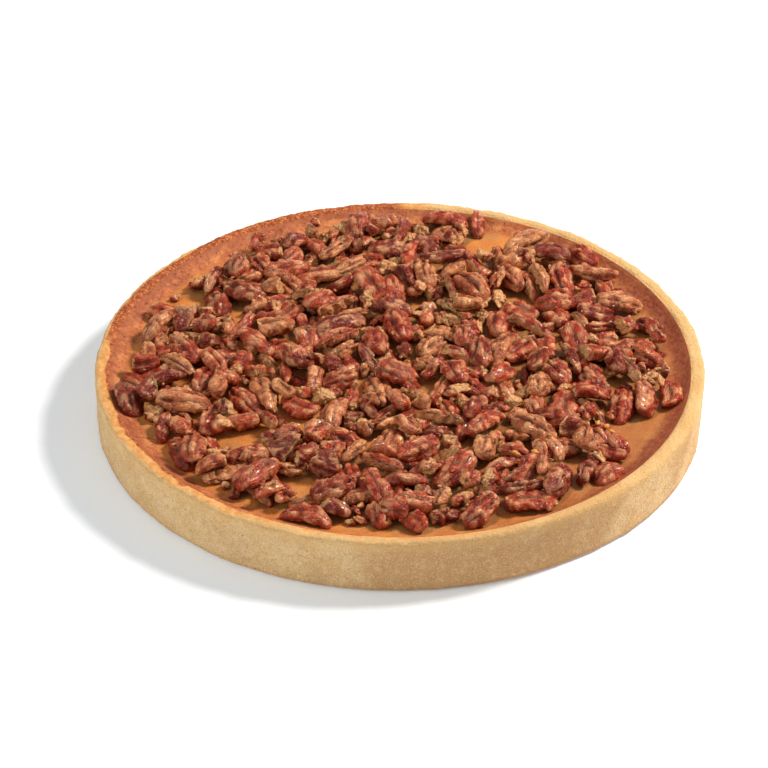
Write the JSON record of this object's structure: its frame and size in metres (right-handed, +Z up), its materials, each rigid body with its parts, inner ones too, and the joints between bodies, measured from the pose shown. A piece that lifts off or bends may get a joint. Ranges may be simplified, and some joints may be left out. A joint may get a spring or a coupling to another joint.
{
  "type": "pumpkin tart",
  "caption": "Round uncut tart: upright shortcrust shell, level baked pumpkin custard and a loose heap of caramelised pecan halves and pieces on top.",
  "frame": {"origin": "centre of the flat underside", "axes": "+Z up through the middle of the tart, +X right and -Y towards the viewer"},
  "size_m": [0.28, 0.28, 0.0363],
  "materials": {
    "crust": "dry, fine-grained",
    "filling": "satin",
    "pecans": "soft gloss"
  },
  "bodies": {
    "root": {"crust": "crust", "filling": "filling", "pecans": "pecans"}
  },
  "joints": []
}
